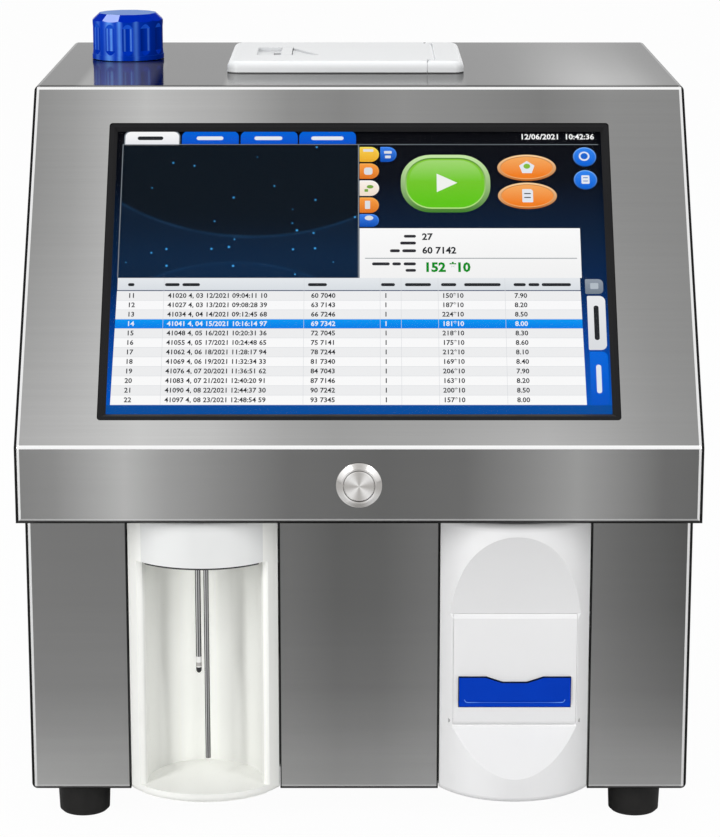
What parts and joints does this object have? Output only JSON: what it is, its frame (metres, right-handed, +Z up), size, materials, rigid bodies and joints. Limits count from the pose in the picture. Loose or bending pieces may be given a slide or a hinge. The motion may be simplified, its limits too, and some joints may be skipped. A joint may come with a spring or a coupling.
{
  "type": "milk analyzer",
  "caption": "Bench milk analyzer with a folded steel case, sloping touch display, round-backed sample bay with two tubes, receipt printer, screw cap and hinged top lid.",
  "frame": {"origin": "centre of the bounding box in plan, at the bench surface under the feet", "axes": "+X to the right seen from the front, +Y from the front to the back, +Z up"},
  "size_m": [0.294, 0.311, 0.3392],
  "materials": {
    "cabinet_steel": "horizontally brushed stainless steel",
    "foot_rubber": "matt black rubber",
    "screw_steel": "plain turned steel",
    "bezel_plastic": "satin black",
    "touch_glass": "clear smooth glass",
    "picture": "lit picture with blue fields",
    "inner_steel": "plain sheet",
    "circuit_board": "green board",
    "button_steel": "circular brushed steel",
    "bay_plastic": "warm white moulded plastic",
    "hood_plastic": "cool white moulded plastic",
    "tube_steel": "polished stainless tube",
    "collar_plastic": "white",
    "tip_plastic": "black",
    "hose": "translucent silicone",
    "printer_plastic": "satin light grey-white",
    "lever_plastic": "satin blue",
    "roller_rubber": "matt black rubber",
    "gear_plastic": "natural plastic",
    "aluminium": "plain milled",
    "cap_plastic": "glossy blue",
    "tank_plastic": "translucent natural plastic",
    "gasket_rubber": "matt black rubber",
    "lid_plastic": "satin white",
    "black_plastic": "matt black",
    "motor_metal": "dark grey",
    "socket_metal": "plated can"
  },
  "bodies": {
    "cabinet": {"head_shell": "cabinet_steel", "base_shell": "cabinet_steel", "rear_panel": "cabinet_steel", "rear_screws": "screw_steel", "foot_screws": "screw_steel", "display_bezel": "bezel_plastic", "touch_glass": "touch_glass", "display_panel": "picture", "display_bracket": "inner_steel", "display_board": "circuit_board", "button_housing": "button_steel", "button_nut": "screw_steel", "sample_bay": "bay_plastic", "bay_hood": "hood_plastic", "sampling_tube": "tube_steel", "temperature_probe": "tube_steel", "probe_collar": "collar_plastic", "probe_tip": "tip_plastic", "tube_manifold": "collar_plastic", "hoses": "hose", "printer_housing": "printer_plastic", "printer_hinge_pin": "screw_steel", "thermal_head": "aluminium", "printer_motor": "motor_metal", "rinse_tank": "tank_plastic", "neck_gasket": "gasket_rubber", "lid_hinge_block": "lid_plastic", "lid_hinge_pin": "screw_steel", "chip_bay_frame": "black_plastic", "stage_rails": "screw_steel", "stage_motor": "motor_metal", "objective_lens": "black_plastic", "optic_block": "motor_metal", "deck_plate": "inner_steel", "main_board": "circuit_board", "power_supply": "aluminium", "pump_body": "black_plastic", "pump_motor": "motor_metal", "ultrasonic_cell": "aluminium", "fan_frame": "black_plastic", "power_inlet": "black_plastic", "usb_ports": "socket_metal", "serial_port": "socket_metal", "foot_front_left": "foot_rubber", "foot_front_right": "foot_rubber", "foot_rear_left": "foot_rubber", "foot_rear_right": "foot_rubber"},
    "button": {"button_cap": "button_steel"},
    "cap_carrier": {"cap_liner": "gasket_rubber"},
    "cap": {"filler_cap": "cap_plastic"},
    "lid": {"chip_lid": "lid_plastic"},
    "lid_key": {"lid_latch": "lid_plastic"},
    "paper_door": {"printer_door": "printer_plastic"},
    "lever": {"printer_latch": "lever_plastic"},
    "platen": {"platen_roller": "roller_rubber", "platen_gear": "gear_plastic"},
    "pump": {"pump_rotor": "gear_plastic"},
    "fan": {"fan_impeller": "black_plastic"},
    "screw": {"lead_screw": "screw_steel"},
    "carriage": {"chip_carriage": "gear_plastic"}
  },
  "joints": [
    {"name": "button_press", "type": "slide", "parent": "cabinet", "child": "button", "axis": [0, 1, 0], "range_m": [0, 0.0012], "stiffness_N_per_m": 800},
    {"name": "cap_rise", "type": "slide", "parent": "cabinet", "child": "cap_carrier", "axis": [0, 0, 1], "range_m": [0, 0.008]},
    {"name": "cap_turn", "type": "hinge", "parent": "cap_carrier", "child": "cap", "pos_m": [-0.1132, 0.07695, 0.327], "axis": [0, 0, 1], "range_deg": [0, 720]},
    {"name": "lid_open", "type": "hinge", "parent": "cabinet", "child": "lid", "pos_m": [0.034, 0.05455, 0.3208], "axis": [0, 1, 0], "range_deg": [0, 95]},
    {"name": "lid_key_slide", "type": "slide", "parent": "lid", "child": "lid_key", "axis": [-1, 0, 0], "range_m": [0, 0.004]},
    {"name": "door_open", "type": "hinge", "parent": "cabinet", "child": "paper_door", "pos_m": [0.0682, -0.13645, 0.0494], "axis": [1, 0, 0], "range_deg": [0, 75]},
    {"name": "lever_tip", "type": "hinge", "parent": "paper_door", "child": "lever", "pos_m": [0.0682, -0.13715, 0.0582], "axis": [1, 0, 0], "range_deg": [0, 20], "stiffness_Nm_per_rad": 0.05},
    {"name": "platen_spin", "type": "hinge", "parent": "paper_door", "child": "platen", "pos_m": [0.0682, -0.13055, 0.092], "axis": [1, 0, 0], "continuous": true},
    {"name": "pump_spin", "type": "hinge", "parent": "cabinet", "child": "pump", "pos_m": [-0.0682, -0.02655, 0.0632], "axis": [0, 1, 0], "continuous": true},
    {"name": "fan_spin", "type": "hinge", "parent": "cabinet", "child": "fan", "pos_m": [0.07, 0.13995, 0.11], "axis": [0, 1, 0], "continuous": true},
    {"name": "screw_turn", "type": "hinge", "parent": "cabinet", "child": "screw", "pos_m": [0, 0.07145, 0.301], "axis": [1, 0, 0], "range_deg": [0, 3600]},
    {"name": "carriage_slide", "type": "slide", "parent": "cabinet", "child": "carriage", "axis": [1, 0, 0], "range_m": [0, 0.02]}
  ],
  "couplings": [
    {"joint": "cap_rise", "follows": "cap_turn", "m_per_rad": 0.00063662},
    {"joint": "carriage_slide", "follows": "screw_turn", "m_per_rad": 0.00031831}
  ]
}
